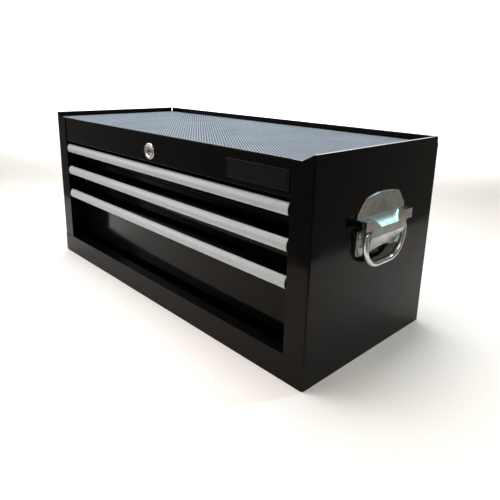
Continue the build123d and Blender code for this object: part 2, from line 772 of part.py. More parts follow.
# Drop handle's bracket: a domed plate with a hollow hood, a recess in its middle, and two ears
dome_points = [
    (dome_shoulder_width / 2, dome_shoulder),
    (dome_width / 2, dome_side),
    (dome_width / 2, dome_low),
]
with BuildPart() as handle_bracket:
    with BuildSketch(Plane.YZ) as handle_plate_sketch:
        with BuildLine():
            ThreePointArc(
                (-dome_shoulder_width / 2, dome_shoulder),
                (0, dome_top),
                (dome_shoulder_width / 2, dome_shoulder),
            )
            Polyline(*dome_points)
            Polyline(*[(-y, z) for y, z in dome_points])
            Line((-dome_width / 2, dome_low), (dome_width / 2, dome_low))
        make_face()
        fillet(handle_plate_sketch.vertices().group_by(Axis.Y)[1:], radius=dome_corner)
    extrude(amount=handle_plate)
    add(hood_form(0))
    add(hood_form(handle_sheet), mode=Mode.SUBTRACT)
    with BuildSketch(Plane.YZ):
        with Locations((0, body_low + arch_rise)):
            Rectangle(body_width, dome_low - body_low - arch_rise, align=(Align.CENTER, Align.MIN))
        for end in (-1, 1):
            with Locations((end * (plate_width + body_width - plate_overlap) / 4, (plate_low + plate_high) / 2)):
                RectangleRounded(
                    (plate_width - body_width + plate_overlap) / 2,
                    plate_high - plate_low,
                    plate_corner,
                )
    extrude(amount=handle_plate)
    with BuildSketch(Plane.YZ):
        with BuildLine():
            ThreePointArc(
                (-arch_width / 2, body_low),
                (0, body_low + arch_rise),
                (arch_width / 2, body_low),
            )
            Line((arch_width / 2, body_low), (-arch_width / 2, body_low))
        make_face()
    extrude(amount=hood_depth, mode=Mode.SUBTRACT)
    with BuildSketch(Plane.XZ):
        with Locations((bail_pivot_depth, 0)):
            Circle(bail_wire / 2 + bail_clearance)
    extrude(amount=hood_width, both=True, mode=Mode.SUBTRACT)
    with BuildSketch(Plane.YZ):
        with Locations(*handle_rivet_places):
            Circle(handle_rivet_radius + rivet_hole_clearance)
    extrude(amount=handle_plate, mode=Mode.SUBTRACT)
right_bracket = Pos(side_x, 0, handle_z) * handle_bracket.part
save(right_bracket, "right_handle_bracket")
save(mirror(right_bracket, about=Plane.YZ), "left_handle_bracket")

# Bail: a bent rod whose ends turn in through the bracket's ears
bail_end_y = bail_width / 2 - bail_stub
with BuildPart() as bail:
    with BuildLine(Plane.YZ.offset(bail_pivot_depth)) as bail_path:
        FilletPolyline(
            (bail_end_y, 0),
            (bail_width / 2, 0),
            (bail_width / 2, -bail_drop),
            (-bail_width / 2, -bail_drop),
            (-bail_width / 2, 0),
            (-bail_end_y, 0),
            radius=[bail_bend, bail_corner, bail_corner, bail_bend],
        )
    with BuildSketch(Plane(bail_path.line @ 0, z_dir=bail_path.line % 0)):
        Circle(bail_wire / 2)
    sweep(path=bail_path.line)
right_bail = Pos(side_x, 0, handle_z) * bail.part
save(right_bail, "right_bail")
save(mirror(right_bail, about=Plane.YZ), "left_bail")

# Rivets that hold a bracket to its panel, with a domed head outside and a flat one inside
with BuildPart() as rivet_set:
    for low_x, radius, length in (
        (-case_sheet, handle_rivet_radius, case_sheet + handle_plate),
        (handle_plate, handle_rivet_head, handle_rivet_height),
        (-case_sheet, handle_rivet_head, -handle_rivet_height),
    ):
        with BuildSketch(Plane.YZ.offset(low_x)):
            with Locations(*handle_rivet_places):
                Circle(radius)
        extrude(amount=length)
    fillet(rivet_set.edges().filter_by(GeomType.CIRCLE).group_by(Axis.X)[-1], radius=handle_rivet_height * 0.8)
right_rivets = Pos(side_x, 0, handle_z) * rivet_set.part
handle_rivets = Compound(children=[right_rivets, mirror(right_rivets, about=Plane.YZ)])
save(handle_rivets, "handle_rivets")
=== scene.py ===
"""Looks of a three-drawer add-on tool chest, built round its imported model."""
import json
import logging
import math
from dataclasses import dataclass, replace
from enum import Enum
from itertools import product
from typing import Any, Sequence

import bmesh
import bpy
import numpy as np
from mathutils import Matrix, Vector


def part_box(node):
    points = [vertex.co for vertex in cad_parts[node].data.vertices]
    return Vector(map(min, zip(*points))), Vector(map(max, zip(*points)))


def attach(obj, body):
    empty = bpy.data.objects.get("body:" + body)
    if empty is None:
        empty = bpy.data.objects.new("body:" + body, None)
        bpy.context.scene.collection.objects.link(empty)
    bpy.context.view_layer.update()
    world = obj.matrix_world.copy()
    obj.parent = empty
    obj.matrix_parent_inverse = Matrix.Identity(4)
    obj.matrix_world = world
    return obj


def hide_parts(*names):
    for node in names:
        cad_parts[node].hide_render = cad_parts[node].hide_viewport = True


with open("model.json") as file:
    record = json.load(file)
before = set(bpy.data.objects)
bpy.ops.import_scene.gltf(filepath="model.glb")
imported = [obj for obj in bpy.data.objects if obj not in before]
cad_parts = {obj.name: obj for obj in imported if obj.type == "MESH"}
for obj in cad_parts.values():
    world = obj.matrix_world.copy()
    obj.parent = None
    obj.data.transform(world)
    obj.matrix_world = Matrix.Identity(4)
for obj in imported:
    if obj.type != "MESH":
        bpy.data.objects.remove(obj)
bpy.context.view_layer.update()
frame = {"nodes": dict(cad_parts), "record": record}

MM = 0.001
# Two numbers: a flat place, a size, or the two ends of a span
Pair = tuple[float, float]
# How far in a flat end's inner ring lies, in radii of its rounded edge
FLAT_RING = 1.3
# Rings that round the edge of a carried end
EDGE_RINGS = 4
# Points of a skin that are closer than this are merged
MERGE_MM = 0.004
# Points of a line that are closer than this count as one
SAME_MM = 1e-5
# The least divisor, and the least half angle of a corner
TINY = 1e-9
LEAST_HALF = 1e-3
# The colour Mix node's sockets, whose names repeat, by number
MIX_SHARE, MIX_FIRST, MIX_SECOND, MIX_RESULT = 0, 6, 7, 2

log = logging.getLogger("tool_chest")


def linear_colour(hex_text: str) -> tuple[float, float, float, float]:
    """Turns an sRGB hex colour into the linear values that a shader takes.

    Each channel c of 0 to 1 becomes c / 12.92 below 0.04045, and ((c + 0.055) / 1.055) ** 2.4 above.

    Args:
        hex_text: Six hex digits after a hash mark.

    Returns:
        Red, green and blue, and an alpha of one.
    """
    channels = np.array([int(hex_text[start:start + 2], 16) for start in (1, 3, 5)]) / 255
    linear = np.where(channels <= 0.04045, channels / 12.92, ((channels + 0.055) / 1.055) ** 2.4)
    return (*(float(value) for value in linear), 1.0)


def add_node(tree: bpy.types.NodeTree, kind: str, links: dict[Any, Any] | None = None,
             **settings: Any) -> bpy.types.Node:
    """Adds one node to a tree.

    Args:
        tree: The node tree.
        kind: The shader node's type, such as TexNoise.
        links: Input name or number to the output socket, or the plain value, that goes there.
        settings: The node's own properties.

    Returns:
        The new node.
    """
    node = tree.nodes.new("ShaderNode" + kind)
    for key, value in settings.items():
        setattr(node, key, value)
    for key, value in (links or {}).items():
        if isinstance(value, bpy.types.NodeSocket):
            tree.links.new(value, node.inputs[key])
        else:
            node.inputs[key].default_value = value
    return node


def new_object(name: str, data: bpy.types.ID) -> bpy.types.Object:
    """Makes an object and puts it in the scene.

    Args:
        name: The object's name.
        data: Its mesh, light or camera.

    Returns:
        The object.
    """
    made = bpy.data.objects.new(name, data)
    bpy.context.scene.collection.objects.link(made)
    return made


def box_mm(node: str) -> tuple[np.ndarray, np.ndarray]:
    """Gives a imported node's lowest and highest corners in millimetres."""
    low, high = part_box(node)
    return np.array(low) / MM, np.array(high) / MM


class Slot(Enum):
    """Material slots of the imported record."""

    PAINT = "black_gloss_paint"
    PULL = "satin_silver"
    MAT = "mat_rubber"
    PLASTIC = "black_plastic"
    CHROME = "chrome"
    ZINC = "zinc_plate"
    STEEL = "bare_steel"


class Side(Enum):
    """The chest's two sides, each with the direction of its outward X."""

    LEFT = -1
    RIGHT = 1


class Axis(Enum):
    """The three axes, by their place in a point."""

    X = 0
    Y = 1
    Z = 2


# Lines and surfaces, all in millimetres

def unit(vectors: np.ndarray) -> np.ndarray:
    """Scales each vector along the last axis to length one, and leaves a zero one at zero."""
    return vectors / np.maximum(np.linalg.norm(vectors, axis=-1, keepdims=True), TINY)


def directions(angles: np.ndarray) -> np.ndarray:
    """Gives the flat unit vector (cos a, sin a) at each angle a."""
    return np.stack([np.cos(angles), np.sin(angles)], axis=1)


def distinct(points: np.ndarray, closed: bool) -> np.ndarray:
    """Drops each point that lies on the one before it.

    Args:
        points: Points of a line, one a row.
        closed: Whether the last point leads back to the first.

    Returns:
        The points that are left.
    """
    apart = np.linalg.norm(points - np.roll(points, 1, axis=0), axis=1) > SAME_MM
    if not closed:
        apart[0] = True
    return points[apart]


def round_corners(points: Sequence[Sequence[float]], radii: float | Sequence[float], steps: int = 6,
                  closed: bool = True) -> np.ndarray:
    """Rounds the corners of a line or outline.

    At a corner p, u and v are the unit vectors to its neighbours and h is half the angle between them. The
    arc of radius r starts r / tan(h) along each side, and its centre lies r / sin(h) along the bisector of u
    and v. Its points turn evenly from one end to the other, through pi - 2h.

    Args:
        points: The corners.
        radii: One radius, or one for each corner.
        steps: Points in each arc.
        closed: Whether it is an outline. The ends of an open line keep a radius of zero.

    Returns:
        The points of the rounded line.
    """
    corners = np.asarray(points, float)
    radius = np.array(np.broadcast_to(np.asarray(radii, float), len(corners)))
    if not closed:
        radius[[0, -1]] = 0
    before = unit(np.roll(corners, 1, axis=0) - corners)
    after = unit(np.roll(corners, -1, axis=0) - corners)
    half = np.maximum(np.arccos(np.clip((before * after).sum(axis=1), -1, 1)) / 2, LEAST_HALF)
    reach = (radius / np.tan(half))[:, None]
    centres = corners + unit(before + after) * (radius / np.sin(half))[:, None]
    starts = (corners + before * reach - centres)[:, None]
    ends = (corners + after * reach - centres)[:, None]
    turn = (np.pi - 2 * half)[:, None, None]
    share = np.linspace(0, 1, steps)[None, :, None]
    arcs = starts * np.sin((1 - share) * turn) + ends * np.sin(share * turn)
    arcs /= np.maximum(np.sin(turn), TINY)
    return distinct((centres[:, None] + arcs).reshape(-1, corners.shape[1]), closed)


def rectangle(low: Sequence[float], high: Sequence[float], radius: float) -> np.ndarray:
    """Gives a rectangle with rounded corners.

    Args:
        low: Its lowest corner.
        high: Its highest corner.
        radius: Radius of its corners.

    Returns:
        Its outline.
    """
    return round_corners([low, (high[0], low[1]), high, (low[0], high[1])], radius)


def arc_through(first: Sequence[float], middle: Sequence[float], last: Sequence[float],
                steps: int) -> np.ndarray:
    """Gives points of the flat arc through three points.

    The centre c is as far from all three, so 2 (b - a) . c = b.b - a.a for each pair, and the arc's points
    are at even angles about it, from the first point by way of the middle one to the last.

    Args:
        first: Where the arc starts.
        middle: A point that it passes.
        last: Where it ends.
        steps: How many points to give.

    Returns:
        The arc's points.
    """
    three = np.array([first, middle, last], float)
    squares = (three ** 2).sum(axis=1)
    centre = np.linalg.solve(2 * (three[1:] - three[0]), squares[1:] - squares[0])
    angles = np.unwrap(np.arctan2(*(three - centre).T[::-1]))
    spread = np.linspace(angles[0], angles[-1], steps)
    radius = np.linalg.norm(three[0] - centre)
    return centre + radius * directions(spread)


def draw_in(outline: np.ndarray, distances: Sequence[float]) -> np.ndarray:
    """Draws a closed flat outline inwards by each of several distances.

    Where n and m are the inward normals of the two sides at a point, it moves by d (n + m) / (1 + n . m),
    which keeps every side at the distance d from where it was.

    Args:
        outline: Points of the outline, one a row.
        distances: How far in. A negative one goes outwards.

    Returns:
        One outline for each distance.
    """
    sides = unit(np.roll(outline, -1, axis=0) - outline)
    following = np.roll(outline, -1, axis=0)
    area = (outline[:, 0] * following[:, 1] - following[:, 0] * outline[:, 1]).sum()
    normals = np.stack([-sides[:, 1], sides[:, 0]], axis=1) * np.sign(area)
    earlier = np.roll(normals, 1, axis=0)
    shift = (normals + earlier) / (1 + (normals * earlier).sum(axis=1, keepdims=True))
    return outline + np.asarray(distances, float)[:, None, None] * shift


def fold_sheet(line: Sequence[Sequence[float]], radii: float | Sequence[float],
               thickness: float) -> np.ndarray:
    """Gives the outline of a sheet that is folded along a line at the middle of its thickness.

    Both faces run half the thickness from the line, along d (n + m) / (1 + n . m) at each point, where n
    and m are the normals of the two stretches that meet there.

    Args:
        line: The folds, with the sheet's two ends.
        radii: Bend radius at each point of the line, or one for all.
        thickness: The sheet's thickness.

    Returns:
        The closed outline.
    """
    middle = round_corners(line, radii, closed=False)
    along = unit(np.diff(middle, axis=0))
    normals = np.stack([-along[:, 1], along[:, 0]], axis=1)
    before = np.concatenate([normals[:1], normals])
    after = np.concatenate([normals, normals[-1:]])
    shift = thickness / 2 * (before + after) / (1 + (before * after).sum(axis=1, keepdims=True))
    return np.concatenate([middle + shift, (middle - shift)[::-1]])


def stack_rings(rings: np.ndarray, places: Sequence[float], axis: Axis) -> np.ndarray:
    """Sets flat rings at places along an axis.

    Args:
        rings: One flat ring for each place, all with as many points.
        places: Where each ring lies along the axis.
        axis: The axis. The rings' two coordinates are the other two, in their order.

    Returns:
        A grid of points, a row for each ring.
    """
    grid = np.empty((*rings.shape[:2], 3))
    grid[..., axis.value] = np.asarray(places, float)[:, None]
    grid[..., [other.value for other in Axis if other is not axis]] = rings
    return grid


def carry(outline: np.ndarray, low: float, high: float, axis: Axis, edge: float) -> np.ndarray:
    """Carries a flat outline straight along an axis and rounds the edges of both ends.

    For an angle t from a quarter turn down to nothing, an end's ring lies edge (1 - sin t) in from the end,
    and is drawn in by edge (1 - cos t). One more ring, drawn in a little further, keeps the flat end flat to
    the light.

    Args:
        outline: The outline.
        low: Where it starts.
        high: Where it ends.
        axis: The axis that it is carried along.
        edge: Radius of the rounded edges.

    Returns:
        A grid of points, a row for each ring.
    """
    turn = np.linspace(math.pi / 2, 0, EDGE_RINGS)
    drawn = np.concatenate([[edge * FLAT_RING], edge * (1 - np.cos(turn))])
    back = np.concatenate([[0.0], edge * (1 - np.sin(turn))])
    rings = draw_in(outline, np.concatenate([drawn, drawn[::-1]]))
    return stack_rings(rings, np.concatenate([low + back, high - back[::-1]]), axis)


def revolve(profile: Sequence[Sequence[float]], centre: Sequence[float], axis: Axis,
            steps: int) -> np.ndarray:
    """Turns a profile once round an axis.

    A point of radius r at height h goes to r cos(a), r sin(a) about the centre, for even angles a, at h.

    Args:
        profile: Radius and place along the axis of each point.
        centre: The axis's place in the other two coordinates.
        axis: The axis.
        steps: Points in each circle.

    Returns:
        A grid of points, a row for each point of the profile.
    """
    radii, places = np.asarray(profile, float).T
    circle = directions(np.arange(steps) * 2 * math.pi / steps)
    return stack_rings(np.asarray(centre, float) + radii[:, None, None] * circle, places, axis)


def tube(path: np.ndarray, across: Sequence[float], radius: float, steps: int) -> np.ndarray:
    """Carries a circle along a path that lies in one plane.

    At each point the circle lies in the plane of the path's in-plane normal n and the fixed direction across,
    as p + r (cos(a) n + sin(a) across).

    Args:
        path: The path's points.
        across: The unit direction square to the path's plane.
        radius: The circle's radius.
        steps: Points in each circle.

    Returns:
        A grid of points, a row for each point of the path.
    """
    fixed = np.asarray(across, float)
    normal = unit(np.cross(fixed, unit(np.gradient(path, axis=0))))
    angles = (np.arange(steps) * 2 * math.pi / steps)[None, :, None]
    return path[:, None] + radius * (np.cos(angles) * normal[:, None] + np.sin(angles) * fixed)


class Skin:
    """Grids of points in millimetres that together make one mesh."""

    def __init__(self) -> None:
        """Starts with nothing."""
        self.points: list[np.ndarray] = []
        self.faces: list[list[int]] = []
        self.count = 0

    def add(self, grid: np.ndarray, around: bool = True, caps: bool = True) -> "Skin":
        """Adds one grid, whose neighbours are joined into quads.

        Args:
            grid: Rows of points.
            around: Whether each row closes on itself.
            caps: Whether the first and last rows are closed with a flat face.

        Returns:
            The skin itself.
        """
        numbers = np.arange(grid.shape[0] * grid.shape[1]).reshape(grid.shape[:2]) + self.count
        wide = np.concatenate([numbers, numbers[:, :1]], axis=1) if around else numbers
        quads = np.stack([wide[:-1, :-1], wide[:-1, 1:], wide[1:, 1:], wide[1:, :-1]], axis=-1)
        self.faces += quads.reshape(-1, 4).tolist()
        if caps:
            self.faces += [numbers[0, ::-1].tolist(), numbers[-1].tolist()]
        self.points.append(grid.reshape(-1, 3))
        self.count += numbers.size
        return self

    def mesh(self, name: str, sharp: float = 32.0) -> bpy.types.Mesh:
        """Makes the mesh: points that meet are merged, and its faces point outwards.

        Args:
            name: The mesh's name.
            sharp: Angle in degrees past which an edge is drawn sharp.

        Returns:
            The mesh, in metres.
        """
        mesh = bpy.data.meshes.new(name)
        mesh.from_pydata((np.concatenate(self.points) * MM).tolist(), [], self.faces)
        work = bmesh.new()
        work.from_mesh(mesh)
        bmesh.ops.remove_doubles(work, verts=work.verts, dist=MERGE_MM * MM)
        bmesh.ops.dissolve_degenerate(work, edges=work.edges, dist=MERGE_MM / 2 * MM)
        bmesh.ops.recalc_face_normals(work, faces=work.faces)
        work.to_mesh(mesh)
        work.free()
        mesh.shade_smooth()
        mesh.set_sharp_from_angle(angle=math.radians(sharp))
        return mesh


# Finishes

@dataclass(frozen=True)
class Grain:
    """Noise that a finish reads: its coarseness in millimetres, and how much finer noise it holds.

    Where it has a length, it is drawn out along X to that many millimetres.
    """

    size: float
    detail: float
    fineness: float
    length: float = 0.0


@dataclass(frozen=True)
class Finish:
    """A surface finish: plain values, with noise that varies its sheen, its colour and its relief.

    The mottling, spread over the sheen's span, leads the roughness from its first value to its second, and
    spread over the colour's span it mixes the second colour in. The relief raises the surface by a depth in
    millimetres.
    """

    name: str
    slot: Slot
    colour: str
    sheen: Pair
    metallic: float = 0.0
    ior: float = 1.5
    reflection: float = 0.5
    tint: str = "#FFFFFF"
    mottling: Grain | None = None
    sheen_span: Pair = (0.3, 0.7)
    second_colour: str = ""
    colour_span: Pair = (0.3, 0.7)
    relief: Grain | None = None
    strength: float = 0.0
    depth: float = 0.0

    def build(self) -> bpy.types.Material:
        """Makes the material, with the values that are the same all over on the shader's own sockets.

        Returns:
            The material.
        """
        material = bpy.data.materials.new(self.name)
        material.use_nodes = True
        tree = material.node_tree
        tree.nodes.clear()
        shader = add_node(tree, "BsdfPrincipled", {
            "Base Color": linear_colour(self.colour), "Roughness": self.sheen[0], "Metallic": self.metallic,
            "IOR": self.ior, "Specular IOR Level": self.reflection, "Specular Tint": linear_colour(self.tint),
        })
        add_node(tree, "OutputMaterial", {"Surface": shader.outputs["BSDF"]})
        place = add_node(tree, "TexCoord").outputs["Object"]
        for name, socket in self.pattern(tree, place).items():
            tree.links.new(socket, shader.inputs[name])
        return material

    def pattern(self, tree: bpy.types.NodeTree,
                place: bpy.types.NodeSocket) -> dict[str, bpy.types.NodeSocket]:
        """Adds the nodes of what varies over the surface.

        Args:
            tree: The material's node tree.
            place: The Object coordinates.

        Returns:
            Sockets by the name of the shader's input that each goes to.
        """
        noise = {}
        for grain in dict.fromkeys(filter(None, (self.mottling, self.relief))):
            vector, scale = place, 1 / (grain.size * MM)
            if grain.length:
                drawn = add_node(tree, "Mapping", {
                    "Vector": place, "Scale": (1 / (grain.length * MM), scale, scale),
                })
                vector, scale = drawn.outputs["Vector"], 1.0
            noise[grain] = add_node(tree, "TexNoise", {
                "Vector": vector, "Scale": scale, "Detail": grain.detail, "Roughness": grain.fineness,
            }).outputs["Fac"]
        bump = add_node(tree, "Bump", {
            "Height": noise[self.relief], "Strength": self.strength, "Distance": self.depth * MM,
        })
        varied = {"Normal": bump.outputs["Normal"]}
        if self.mottling:
            tone = add_node(tree, "MapRange", {
                "Value": noise[self.mottling], "From Min": self.sheen_span[0], "From Max": self.sheen_span[1],
                "To Min": self.sheen[0], "To Max": self.sheen[1],
            })
            varied["Roughness"] = tone.outputs["Result"]
        if self.second_colour:
            share = add_node(tree, "MapRange", {
                "Value": noise[self.mottling],
                "From Min": self.colour_span[0], "From Max": self.colour_span[1],
            })
            mixed = add_node(tree, "Mix", {
                MIX_SHARE: share.outputs["Result"],
                MIX_FIRST: linear_colour(self.colour), MIX_SECOND: linear_colour(self.second_colour),
            }, data_type="RGBA")
            varied["Base Color"] = mixed.outputs[MIX_RESULT]
        return varied


@dataclass(frozen=True)
class WovenVinyl(Finish):
    """Foamed vinyl cast on an open scrim.

    The eye sees a pale blue grey of small raised cells with darker gaps between them, set on the slant. The
    near black of the gaps is painted shade in the hollows between the cells, where the open scrim also shows
    the dark panel below. The real cells are about 2.5 mm apart, and are drawn as coarse as they need to show.
    """

    pitch: float = 3.5
    slant: float = 38.0
    cell_span: Pair = (-1.1, 0.5)
    patch: float = 60.0
    patch_detail: float = 3.0
    patch_span: Pair = (0.3, 0.7)
    patch_low: float = 0.82

    def pattern(self, tree: bpy.types.NodeTree,
                place: bpy.types.NodeSocket) -> dict[str, bpy.types.NodeSocket]:
        """Adds cells where two slanting waves add up, in the colour and the bump, with painted shade between
        them, over faint patches.

        Args:
            tree: The material's node tree.
            place: The Object coordinates.

        Returns:
            Sockets by the name of the shader's input that each goes to.
        """
        turned = add_node(tree, "Mapping", {
            "Vector": place, "Rotation": (0, 0, math.radians(self.slant)),
            "Scale": (2 * math.pi / (self.pitch * MM),) * 3,
        })
        parts = add_node(tree, "SeparateXYZ", {"Vector": turned.outputs["Vector"]})
        waves = [add_node(tree, "Math", {0: parts.outputs[axis]}, operation="SINE") for axis in "XY"]
        cells = add_node(tree, "Math", {0: waves[0].outputs[0], 1: waves[1].outputs[0]}, operation="ADD")
        height = add_node(tree, "MapRange", {
            "Value": cells.outputs[0], "From Min": self.cell_span[0], "From Max": self.cell_span[1],
        }, interpolation_type="SMOOTHSTEP")
        patch = add_node(tree, "TexNoise", {
            "Vector": place, "Scale": 1 / (self.patch * MM), "Detail": self.patch_detail,
        })
        worn = add_node(tree, "MapRange", {
            "Value": patch.outputs["Fac"], "From Min": self.patch_span[0], "From Max": self.patch_span[1],
            "To Min": self.patch_low,
        })
        share = add_node(tree, "Math", {
            0: height.outputs["Result"], 1: worn.outputs["Result"],
        }, operation="MULTIPLY")
        # Near black where the cells are low: painted shade in the gaps between them
        mixed = add_node(tree, "Mix", {
            MIX_SHARE: share.outputs[0],
            MIX_FIRST: linear_colour(self.second_colour), MIX_SECOND: linear_colour(self.colour),
        }, data_type="RGBA")
        bump = add_node(tree, "Bump", {
            "Height": height.outputs["Result"], "Strength": self.strength, "Distance": self.depth * MM,
        })
        return {"Base Color": mixed.outputs[MIX_RESULT], "Normal": bump.outputs["Normal"]}


class Look(Enum):
    """The chest's finishes, each with the values matched to the real one."""

    # Sprayed and stoved on sheet steel: a deep black whose reflections are clear, a little warm through the
    # coat and slightly rippled, with patches that handling has dulled
    ENAMEL = Finish(
        "gloss_black_stoved_enamel", Slot.PAINT, "#09090A", (0.07, 0.17), reflection=0.1, tint="#FFEEDC",
        mottling=Grain(48.0, 5.0, 0.6), sheen_span=(0.35, 0.75),
        relief=Grain(3.4, 1.0, 0.4), strength=0.35, depth=0.012,
    )
    # Brushed along the extrusion: a pale silver with a soft sheen and fine lines. The oxide layer scatters
    # about half of the light, so it counts as half metal
    ALUMINIUM = Finish(
        "satin_anodised_aluminium", Slot.PULL, "#BBC1C3", (0.63, 0.54), metallic=0.5, second_colour="#C6CBCD",
        mottling=Grain(0.8, 4.0, 0.65, length=60.0),
        relief=Grain(0.8, 4.0, 0.65, length=60.0), strength=0.12, depth=0.02,
    )
    # A pale blue grey of raised cells; the near black second colour is painted shade in the gaps between them
    VINYL = WovenVinyl(
        "foamed_vinyl_on_scrim", Slot.MAT, "#8C99A6", (0.8, 0.8), ior=1.46, reflection=0.1,
        second_colour="#0C0E12", strength=0.7, depth=0.4,
    )
    # Glass-filled, with a fine spark-eroded grain that softens its shine
    NYLON = Finish(
        "moulded_black_nylon", Slot.PLASTIC, "#0B0B0C", (0.36, 0.36), ior=1.53, reflection=0.12,
        relief=Grain(0.8, 3.0, 0.6), strength=0.5, depth=0.04,
    )
    # Mirrors what is round it, with hairlines, over a slightly uneven casting
    CHROME = Finish(
        "chrome_plate", Slot.CHROME, "#E2E1DC", (0.06, 0.18), metallic=1.0,
        mottling=Grain(0.9, 4.0, 0.7), sheen_span=(0.35, 0.7),
        relief=Grain(2.6, 1.0, 0.5), strength=0.6, depth=0.14,
    )
    # A plain grey metal with a softer shine than the chrome
    STEEL = replace(CHROME, name="bright_rolled_steel", slot=Slot.STEEL, colour="#B9BABA", sheen=(0.24, 0.36))
    # A dull silver grey with a faint green and brown cast in cloudy patches, and fine press marks
    PRESSED_ZINC = Finish(
        "passivated_zinc_on_pressed_steel", Slot.ZINC, "#B5BCB8", (0.26, 0.38), metallic=1.0,
        mottling=Grain(16.0, 3.0, 0.55), second_colour="#9C9A92", colour_span=(0.35, 0.68),
        relief=Grain(1.2, 2.0, 0.5), strength=0.3, depth=0.02,
    )
    # Paler and glossier than the pressed sheet, so that it mirrors the room along its curve
    BRIGHT_ZINC = replace(
        PRESSED_ZINC, name="bright_zinc_on_drawn_wire", colour="#CDD2D2", sheen=(0.08, 0.2),
        second_colour="#B9BDBB",
    )


NODE_LOOKS: dict[Slot, Look] = {
    Slot.PAINT: Look.ENAMEL, Slot.PULL: Look.ALUMINIUM, Slot.MAT: Look.VINYL, Slot.PLASTIC: Look.NYLON,
    Slot.CHROME: Look.CHROME, Slot.ZINC: Look.PRESSED_ZINC, Slot.STEEL: Look.STEEL,
}


# The room

@dataclass(frozen=True)
class Softbox:
    """A soft rectangular light, with its places and size in metres, its watts and its beam in degrees."""

    name: str
    place: tuple[float, float, float]
    target: tuple[float, float, float]
    size: Pair
    power: float
    spread: float = 110.0
    colour: str = "#FFFFFF"

    def build(self) -> None:
        """Makes the light and turns it to its target."""
        data = bpy.data.lights.new(self.name, "AREA")
        data.spread = math.radians(self.spread)
        data.shape = "RECTANGLE"
        data.size, data.size_y = self.size
        data.energy = self.power
        data.color = linear_colour(self.colour)[:3]
        light = new_object(self.name, data)
        light.location = self.place
        aim = Vector(self.target) - Vector(self.place)
        light.rotation_euler = aim.to_track_quat("-Z", "Y").to_euler()


SOFTBOXES = (
    Softbox("overhead_softbox", (-0.2, -0.1, 1.35), (-0.05, -0.05, 0), (0.9, 0.9), 8.3),
    Softbox("front_softbox", (-1.2, -1.3, 0.7), (0, 0, 0.15), (1.4, 0.8), 4.0),
    Softbox("right_softbox", (1.2, -0.4, 1.1), (0.45, -0.1, 0), (0.8, 0.8), 1.9, colour="#FFDDC0"),
    Softbox("cool_window", (0.8, 1.15, 1.2), (0.3, 0, 0.18), (0.2, 0.2), 0.8, 60.0, "#B7E6F5"),
    Softbox("backdrop_softbox", (-0.9, 1.1, 1.9), (-2.6, 3.0, 0.3), (1.4, 1.4), 92.0, 150.0),
)


@dataclass
class Studio:
    """The floor, the lights and the camera, which sees the chest as the photograph does.

    The camera's place is in metres, and the floor's sizes are in millimetres.
    """

    image_size: float = 500.0
    sensor_width: float = 36.0
    focal_px: float = 490.57
    centre_px: Pair = (239.67, 205.85)
    place: tuple[float, float, float] = (0.6034, -0.5108, 0.3475)
    azimuth: float = 46.90
    elevation: float = 15.26
    roll: float = -1.10
    floor_colour: str = "#F8F7F5"
    floor_roughness: float = 0.95
    floor_reflection: float = 0.05
    floor_corner: Pair = (550.0, -480.0)
    floor_sector: Pair = (90.0, 172.0)
    floor_radius: float = 2900.0
    floor_steps: int = 49
    cove_radius: float = 900.0
    cove_steps: int = 16
    wall_height: float = 2600.0
    sky_colour: str = "#F0E6DA"
    sky_strength: float = 0.27

    def camera(self) -> None:
        """Makes the camera from the view that fits the case's corners in the photograph."""
        azimuth, elevation, roll = (
            math.radians(angle) for angle in (self.azimuth, self.elevation, self.roll)
        )
        forward = Vector((
            -math.sin(azimuth) * math.cos(elevation),
            math.cos(azimuth) * math.cos(elevation),
            -math.sin(elevation),
        ))
        right = forward.cross(Vector((0, 0, 1))).normalized()
        up = right.cross(forward)
        turned_right = math.cos(roll) * right - math.sin(roll) * up
        turned_up = math.sin(roll) * right + math.cos(roll) * up
        data = bpy.data.cameras.new("camera")
        data.sensor_width = self.sensor_width
        data.lens = self.focal_px / self.image_size * self.sensor_width
        data.shift_x = (self.image_size / 2 - self.centre_px[0]) / self.image_size
        data.shift_y = (self.centre_px[1] - self.image_size / 2) / self.image_size
        camera = new_object("camera", data)
        turn = Matrix((turned_right, turned_up, -forward)).transposed().to_4x4()
        camera.matrix_world = Matrix.Translation(self.place) @ turn
        bpy.context.scene.camera = camera

    def floor(self) -> None:
        """Makes the pale floor, a sector of a round sheet that curves up into a wall.

        Its corner and its two straight edges lie just outside the view, so the gloss of the chest's upper
        parts mirrors the dimmer room beyond them, and that of its lower parts mirrors the sheet.
        """
        turn = np.linspace(0, math.pi / 2, self.cove_steps)
        cove = np.stack([
            self.floor_radius + self.cove_radius * np.sin(turn), self.cove_radius * (1 - np.cos(turn)),
        ], axis=1)
        profile = np.concatenate([[(0.0, 0.0), (self.floor_radius / 2, 0.0)], cove,
                                  [(cove[-1, 0], self.wall_height)]])
        circle = directions(np.radians(np.linspace(*self.floor_sector, self.floor_steps)))
        rings = np.array(self.floor_corner) + profile[:, :1, None] * circle
        grid = stack_rings(rings, profile[:, 1], Axis.Z)
        mesh = Skin().add(grid, around=False, caps=False).mesh("studio_floor", sharp=60)
        material = bpy.data.materials.new("studio_paper")
        material.use_nodes = True
        shader = material.node_tree.nodes["Principled BSDF"]
        shader.inputs["Base Color"].default_value = linear_colour(self.floor_colour)
        shader.inputs["Roughness"].default_value = self.floor_roughness
        shader.inputs["Specular IOR Level"].default_value = self.floor_reflection
        mesh.materials.append(material)
        new_object("studio_floor", mesh)

    def build(self) -> None:
        """Sets the camera, floor, lights, sky and view."""
        self.camera()
        self.floor()
        for softbox in SOFTBOXES:
            softbox.build()
        world = bpy.data.worlds.new("sky")
        world.use_nodes = True
        background = world.node_tree.nodes["Background"]
        background.inputs["Color"].default_value = linear_colour(self.sky_colour)
        background.inputs["Strength"].default_value = self.sky_strength
        scene = bpy.context.scene
        scene.world = world
        scene.view_settings.view_transform = "Standard"
        scene.view_settings.look = "None"


# The chest, with its sizes in millimetres and its angles in degrees

